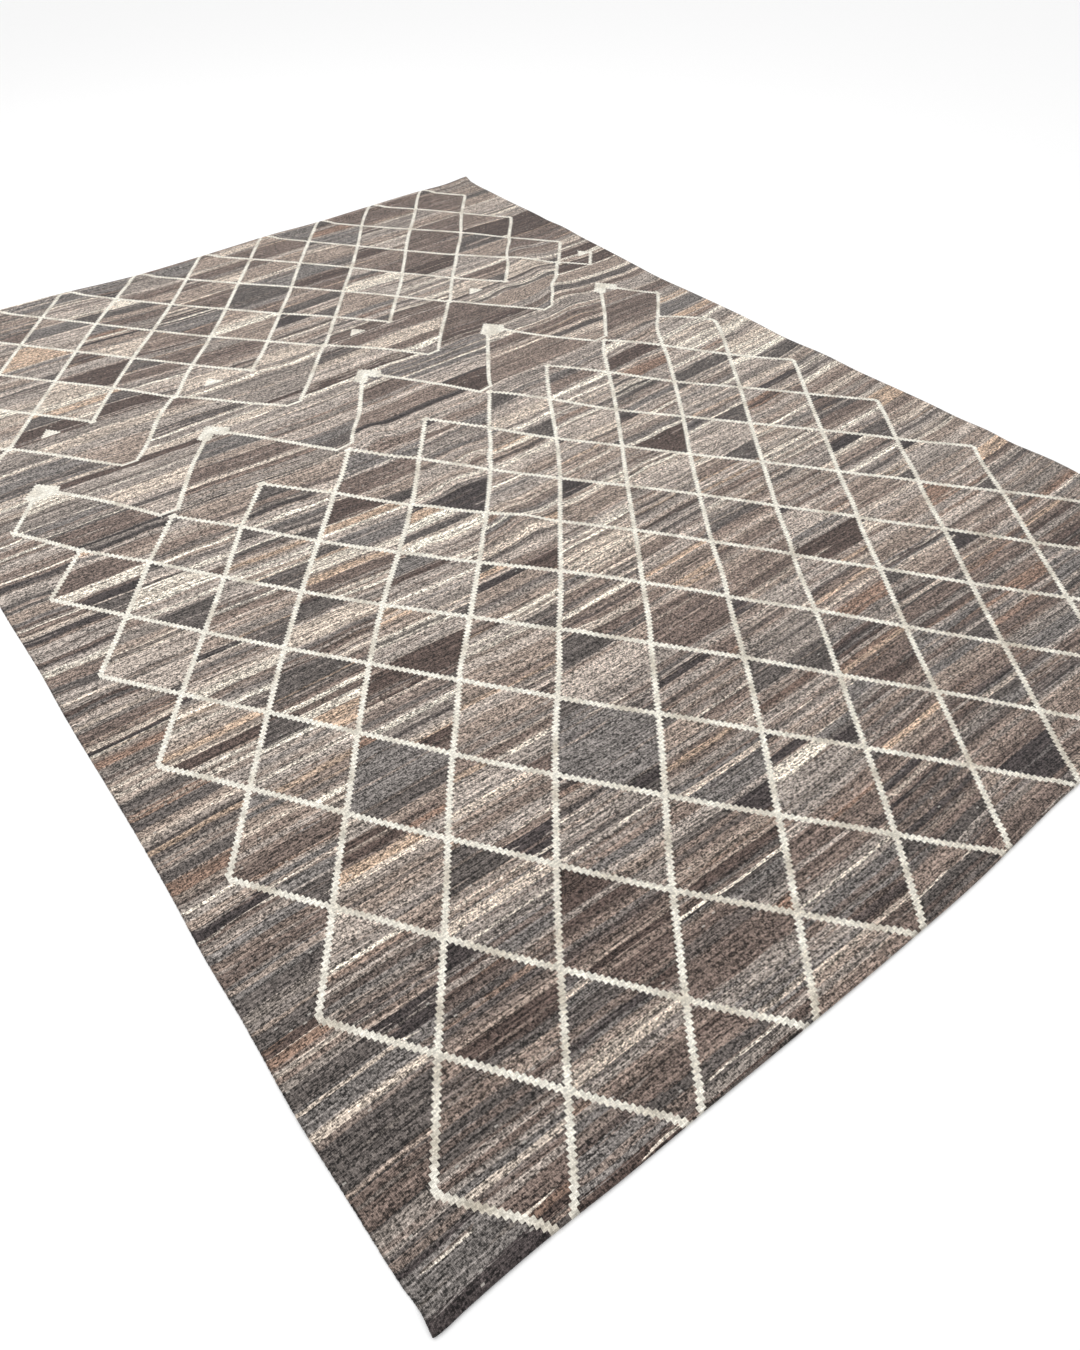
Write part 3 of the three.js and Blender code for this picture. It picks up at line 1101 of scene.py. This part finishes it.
            (1290, 1324, "umber"), (1534, 1541, "pale"), (1596, 1652, "stone"), (1662, 1688, "ink"),
            (1727, 1734, "pale"), (1768, 1804, "fawn"), (1920, 1927, "pale"),
        ),
    },
    "right": {
        0: (
            (750, 794, "tan"), (1106, 1168, "tan"), (1515, 1572, "coal"), (1577, 1600, "cream"),
            (1874, 1906, "tan"), (1926, 2024, "slate"), (2028, 2036, "pale"), (2084, 2135, "ash"),
            (2562, 2612, "peat"), (2632, 2645, "pale"), (2729, 2860, "umber"), (2864, 3030, "peat"),
            (3098, 3104, "pale"), (3150, 3225, "dove"), (3235, 3305, "fawn"), (3311, 3336, "coal"),
        ),
    },
}

# Where each kind of shape is counted from. A shape's number and a place along the rug, as a share
# of a whole number, make one spot, which is unlike any other shape's.
COUNTED_FROM = {
    "lower cell": 0,
    "upper cell": 250,
    "crown": 400,
    "swag": 410,
    "valley": 420,
    "hill": 430,
    "left": 440,
    "right": 441,
}
ROW_OF_CELLS = 20
SPOT_SPAN = 4000


def yarn_place(name):
    """Where a yarn lies among all the yarns, from 0 to 1."""
    shares = [share for share, _ in YARNS.values()]
    before = sum(shares[: list(YARNS).index(name)])
    return (before + YARNS[name][0] / 2) / sum(shares)


def dip(dye, value):
    """The ground yarn at a place from 0 to 1 among the yarns."""
    whole = sum(share for share, _ in YARNS.values())
    stops, place = [], 0
    for share, colour in YARNS.values():
        stops.append((place / whole, seen(*colour)))
        place += share
    return dye.node("ValToRGB", {"stops": stops}, {"Fac": value}).outputs["Color"]


def shape_number(dye, plan, in_crown, in_swag):
    """A whole number for each closed shape and for each stretch of open ground."""
    column, upper, along = plan["column"], plan["upper"], plan["along"]

    def counted(name, place=0.0):
        return place + COUNTED_FROM[name]

    def where(share, inner, outer):
        return outer + (inner - outer) * share

    from_peak = dye.math("FLOOR", (column + 1) / 4)
    from_valley = dye.math("FLOOR", (column - 1) / 4)
    side = (column > LAST_COLUMN / 2) + COUNTED_FROM["left"]
    open_ground = where(
        along > BREAK_MIDDLE, counted("hill", from_peak), counted("valley", from_valley)
    )
    in_break = within(dye, along, (BREAK_FROM + BREAK_TO) / 2, (BREAK_TO - BREAK_FROM) / 2)
    between = within(dye, column, LAST_COLUMN / 2, LAST_COLUMN / 2 - 1)
    number = where(either(dye, in_break, between), open_ground, side)
    number = where(in_crown, counted("crown", from_peak), number)
    number = where(in_swag, counted("swag", from_valley), number)
    cell = plan["cell_row"] * ROW_OF_CELLS + plan["cell_column"]
    cell = cell + upper * COUNTED_FROM["upper cell"]
    in_column = within(dye, plan["cell_column"], LAST_COLUMN / 2, LAST_COLUMN / 2 - 0.5)
    in_cell = in_column * (plan["cell_row"] < plan["last_row"] - 0.5)
    return where(in_cell, cell, number), in_cell


def chart_spot(shape, place, along):
    """The spot that a row of the chart gives for a place along one shape."""
    number = COUNTED_FROM[shape]
    if shape.endswith("cell"):
        column, row = place
        number += row * ROW_OF_CELLS + column
    elif shape in ("crown", "hill"):
        number += (place + 1) // 4
    elif shape in ("swag", "valley"):
        number += (place - 1) // 4
    return number + along / SPOT_SPAN


def charted(dye, spot):
    """The chart's yarn at a spot: 1 more than its place among the yarns, or 0 for none."""
    bands = [
        (shape, place, *band)
        for shape, places in CHART.items()
        for place, here in places.items()
        for band in here
    ]
    yarn_here = 0.0
    for shape, place, start, end, yarn in bands:
        middle = chart_spot(shape, place, (start + end) / 2)
        here = within(dye, spot, middle, (end - start) / 2 / SPOT_SPAN)
        yarn_here = dye.math("MULTIPLY_ADD", here, yarn_place(yarn) + 1, yarn_here)
    return yarn_here


def leaning(dye, value, paler):
    """A value from 0 to 1, moved to the dark yarns at the near end and to the pale ones beyond."""
    lean = paler * (FAR_LEANING - NEAR_LEANING) + NEAR_LEANING
    return value * (lean * (1 - value) + 1)


def ground_bands(dye, plan, across, along, number, in_cell, paler):
    """The runs of different yarns that fill each shape, as a colour."""
    lean, shift, other = dye.scatter(number, 11.0)
    restless = dye.ease(along, RESTLESS_FROM - RESTLESS_EASE, RESTLESS_FROM)
    restless = restless * (1 - dye.ease(along, RESTLESS_TO, RESTLESS_TO + RESTLESS_EASE))
    sway = dye.noise(across / SWAY_WIDTH, along / SWAY_HEIGHT) - 0.5
    sway = sway * (restless * (SWAY - QUIET_SWAY) + QUIET_SWAY)
    level = along + sway
    mingled = (dye.noise(across / MINGLED_WIDTH, level / MINGLED_HEIGHT) - 0.5) * MINGLED
    frayed = (dye.noise(across / FRAYED_WIDTH, level / FRAYED_HEIGHT) - 0.5) * FRAYED
    mingled = mingled + frayed

    broad = dye.runs((level + mingled) / BROAD_RUN + shift * BROAD_SHIFT)
    narrow = dye.runs((level + mingled * 0.5) / NARROW_RUN + other * NARROW_SHIFT)
    thin = dye.runs((level + mingled * 0.3) / THIN_RUN + lean * THIN_SHIFT)
    main = leaning(dye, broad[0] * (1 - SHAPE_SHARE) + lean * SHAPE_SHARE, paler)

    tips = dye.scatter(number, 5.0)
    height = plan["row"] - plan["cell_row"]
    far_tip = (height > tips[0] * 0.6 + 0.42) * (tips[1] > 0.55)
    near_tip = (height < tips[1] * 0.6 - 0.98) * (tips[2] > 0.6)
    tip = either(dye, far_tip, near_tip) * in_cell
    main = main + (tips[2] * 0.2 - main) * tip

    ground = dip(dye, main)
    few = leaning(dye, narrow[0], paler)
    shown = (narrow[1] > NARROW_ABOVE) * (1 - tip) * NARROW_STRENGTH
    ground = dye.blend(shown, ground, dip(dye, few))
    chosen = charted(dye, number + (along + sway * 0.5 + mingled * 0.3) / SPOT_SPAN)
    ground = dye.blend(chosen > 0.5, ground, dip(dye, chosen - 1))
    fade = dye.noise(across / FADE_WIDTH + shift * FADE_SHIFT, level / FADE_HEIGHT)
    shown = (thin[1] > THIN_ABOVE) * (fade > FADED_BELOW) * THIN_STRENGTH
    ground = dye.blend(shown, ground, dip(dye, thin[0]))
    return dye.scaled(ground, (thin[2] - 0.5) * (fade * 0.9 + 0.1) + 1)


def weave(dye, across, along):
    """Which bead of weft this is, by its rib and its number along the rib, and how high it
    stands. Beads on neighbouring ribs lie half a bead apart."""
    ribs = across / RIB_PITCH + dye.noise(across / 9, along / 60) * 1.5
    rib = dye.math("FLOOR", ribs)
    beads = along / BEAD_PITCH + rib / 2
    height = [dye.math("SINE", dye.math("FRACT", part) * math.pi) for part in (ribs, beads)]
    return rib, dye.math("FLOOR", beads), height[0] * height[1]


def heather_and_bead_shade(dye, across, along, bead):
    """How the spun yarn lightens and darkens, with painted shade in the gaps between beads, about 1, and
    where a pale fleck shows.
    """
    rib, number, height = bead
    fine = dye.scatter(rib, number)
    patch = [dye.math("FLOOR", part) for part in (across / PATCH_WIDTH, along / PATCH_HEIGHT)]
    coarse = dye.scatter(*patch)
    strand = dye.noise(across / STRAND_WIDTH, along / STRAND_HEIGHT)
    slub = dye.noise(across / SLUB_WIDTH, along / SLUB_HEIGHT, detail=1.0)
    # Painted shade: the wool is darker in the gaps between beads, where they stand lowest
    tone = (fine[0] - 0.5) * 1.6 + (coarse[0] - 0.5) * 1.1 + (height - 0.4) * 0.7
    tone = tone + (strand - 0.5) * 1.6 + (slub - 0.5) * 1.2 + 1
    return dye.math("MAXIMUM", tone, DARKEST_TONE), (coarse[1] > FLECKED_ABOVE) * 0.7


def wool():
    dye = Dye("kilim_wool")
    place = dye.node("Attribute", {"attribute_name": "weave"}).outputs["Vector"]
    across, along, own = (part / MM for part in dye.parts("SeparateXYZ", place))
    stepped = (dye.math("FLOOR", along / LINE_STEP) + 0.5) * LINE_STEP
    plan = lattice(dye, across, stepped)
    plan["along"] = along
    cream, in_crown, in_swag = cream_shapes(dye, plan, stepped)
    number, in_cell = shape_number(dye, plan, in_crown, in_swag)

    paler = dye.ease(along, 0.0, PALER_BEYOND)
    ground = ground_bands(dye, plan, across, along, number, in_cell, paler)
    bead = weave(dye, across, along)
    tone, fleck = heather_and_bead_shade(dye, across, along, bead)
    ground = dye.blend(fleck, dye.scaled(ground, tone), FLECK)
    # The cream is duller in patches, and more so towards the near end
    duller = (dye.noise(across / 60, along / 60) - 0.45) * 1.6 + (1 - paler) * 0.25
    creamy = dye.scaled(dye.blend(duller, CREAM, DULL_CREAM), (tone - 1) * 0.3 + 1)
    colour = dye.blend(cream, ground, creamy)
    # Painted shade along each hem's fold and along each selvedge, where the edge turns from the light
    shaded_end = dye.math("ABSOLUTE", own - RUG_LENGTH / 2) > RUG_LENGTH / 2 - SHADED_END_WIDTH
    inset = Amount(dye, dye.node("Attribute", {"attribute_name": "inset"}).outputs["Fac"])
    shaded_side = inset < SHADED_SIDE_WIDTH * MM
    colour = dye.scaled(colour, either(dye, shaded_end, shaded_side) * (PAINTED_RIM_SHADE - 1) + 1)

    relief = bead[2] * 0.7 + dye.noise(across / 7, along / 3) * 0.6
    bump = dye.node("Bump", inputs={"Strength": 1.0, "Distance": RELIEF * MM, "Height": relief})
    finish = dye.node(
        "BsdfPrincipled",
        inputs={
            "Base Color": colour,
            "Roughness": 0.96 - dye.noise(across / 12, along / 4) * 0.12,
            "Normal": bump.outputs[0],
            "Specular IOR Level": 0.2,
            "Sheen Weight": 0.12,
            "Sheen Roughness": 0.5,
        },
    )
    dye.node("OutputMaterial", inputs={"Surface": finish.outputs[0]})
    return dye.material


# The rug

stops = warp_stops()
kilim_wool = wool()
cloth = new_piece("kilim_weave", cloth_mesh(stops))
cloth.data.materials.append(kilim_wool)
selvedges = selvedge_turns(stops, kilim_wool)

# The studio

FLOOR_HALF = 30
FLOOR_COLOUR = (0.92, 0.92, 0.92, 1)
WORLD_STRENGTH = 1.0
LAMP_PLACE = (-0.8, 0.8, 3.2)
LAMP_SIZE = 3.0
LAMP_POWER = 48

# The camera, by where it stands, the way it faces, and its picture's height in focal lengths
CAMERA_PLACE = (-1.2657, -2.1231, 1.5312)
CAMERA_HEADING = 35.617
CAMERA_DOWN = 44.568
CAMERA_ROLL = -2.183
FOCAL_PIXELS = 1016.85
PICTURE_HEIGHT = 1350


def floor_piece():
    corners = [(x * FLOOR_HALF, y * FLOOR_HALF, 0) for x, y in ((-1, -1), (1, -1), (1, 1), (-1, 1))]
    mesh = bpy.data.meshes.new("floor")
    mesh.from_pydata(corners, [], [(0, 1, 2, 3)])
    dye = Dye("pale_floor")
    inputs = {"Base Color": FLOOR_COLOUR, "Roughness": 0.9, "Specular IOR Level": 0.1}
    finish = dye.node("BsdfPrincipled", inputs=inputs)
    dye.node("OutputMaterial", inputs={"Surface": finish.outputs[0]})
    mesh.materials.append(dye.material)
    return new_piece("floor", mesh)


def light_studio():
    world = bpy.data.worlds.new("studio")
    world.use_nodes = True
    world.node_tree.nodes["Background"].inputs["Color"].default_value = (1, 1, 1, 1)
    world.node_tree.nodes["Background"].inputs["Strength"].default_value = WORLD_STRENGTH
    bpy.context.scene.world = world
    lamp = bpy.data.lights.new("soft_lamp", "AREA")
    lamp.size = LAMP_SIZE
    lamp.energy = LAMP_POWER
    stand = bpy.data.objects.new("soft_lamp", lamp)
    stand.location = LAMP_PLACE
    stand.rotation_euler = (-Vector(LAMP_PLACE)).to_track_quat("-Z", "Y").to_euler()
    bpy.context.scene.collection.objects.link(stand)


def set_camera():
    camera = bpy.data.cameras.new("camera")
    camera.lens = FOCAL_PIXELS / PICTURE_HEIGHT * camera.sensor_width
    stand = bpy.data.objects.new("camera", camera)
    turn = Matrix.Rotation(math.radians(-CAMERA_HEADING), 4, "Z")
    tip = Matrix.Rotation(math.radians(90 - CAMERA_DOWN), 4, "X")
    roll = Matrix.Rotation(math.radians(CAMERA_ROLL), 4, "Z")
    stand.matrix_world = Matrix.Translation(CAMERA_PLACE) @ turn @ tip @ roll
    bpy.context.scene.collection.objects.link(stand)
    bpy.context.scene.camera = stand


floor = floor_piece()
light_studio()
set_camera()
bpy.context.scene.view_settings.view_transform = "Standard"

for piece in (cloth, selvedges):
    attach(piece, "root")
    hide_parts("kilim_cloth")
